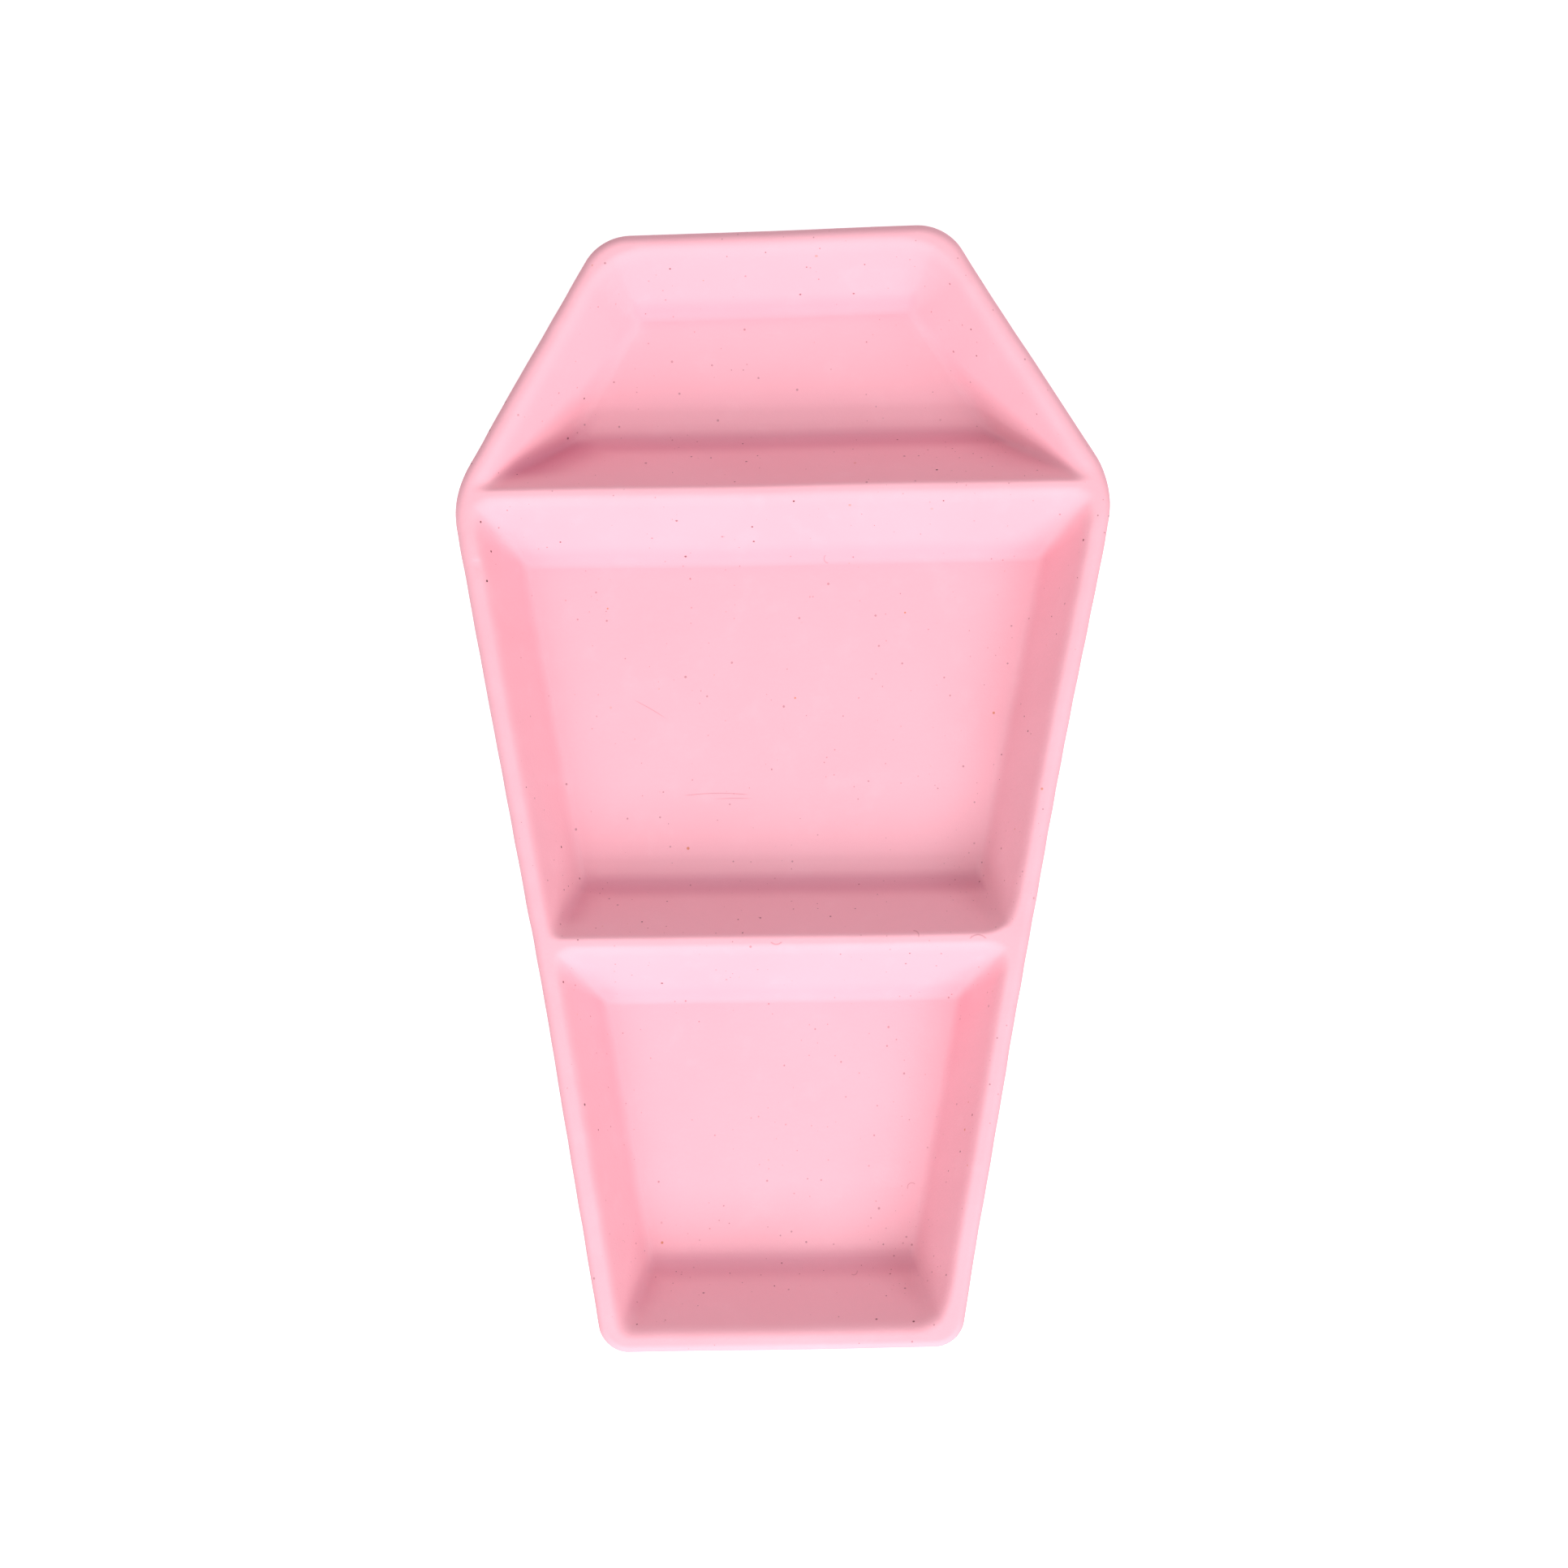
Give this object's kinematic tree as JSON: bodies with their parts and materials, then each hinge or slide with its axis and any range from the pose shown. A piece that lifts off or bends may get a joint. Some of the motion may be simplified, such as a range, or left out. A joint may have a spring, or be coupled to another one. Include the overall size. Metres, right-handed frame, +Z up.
{
  "type": "resin casting mould",
  "caption": "Flexible coffin-shaped silicone casting mould: a shallow tray with open tapered cavities in a row, head to foot, parted by narrow-crested dividers.",
  "frame": {"origin": "Under the centre of the bounding box, on the plane the three pod floors rest on", "axes": "+Y towards the narrow head end, +X across, +Z up out of the open cavities"},
  "size_m": [0.1468, 0.25, 0.0215],
  "materials": {
    "silicone": "matte"
  },
  "bodies": {
    "middle": {"middle_floor": "silicone", "middle_left_wall": "silicone", "middle_right_wall": "silicone", "upper_divider_middle_leaf": "silicone", "lower_divider_middle_leaf": "silicone"},
    "head": {"head_floor": "silicone", "head_end_wall": "silicone", "head_left_wall": "silicone", "head_right_wall": "silicone", "upper_divider_head_leaf": "silicone"},
    "foot": {"foot_floor": "silicone", "foot_end_wall": "silicone", "foot_left_wall": "silicone", "foot_right_wall": "silicone", "lower_divider_foot_leaf": "silicone"}
  },
  "joints": [
    {"name": "head_flex", "type": "hinge", "parent": "middle", "child": "head", "pos_m": [0, 0.066, 0.0215], "axis": [1, 0, 0], "range_deg": [0, 60], "stiffness_Nm_per_rad": 0.4},
    {"name": "foot_flex", "type": "hinge", "parent": "middle", "child": "foot", "pos_m": [0, -0.0348, 0.0215], "axis": [-1, 0, 0], "range_deg": [0, 60], "stiffness_Nm_per_rad": 0.4}
  ]
}
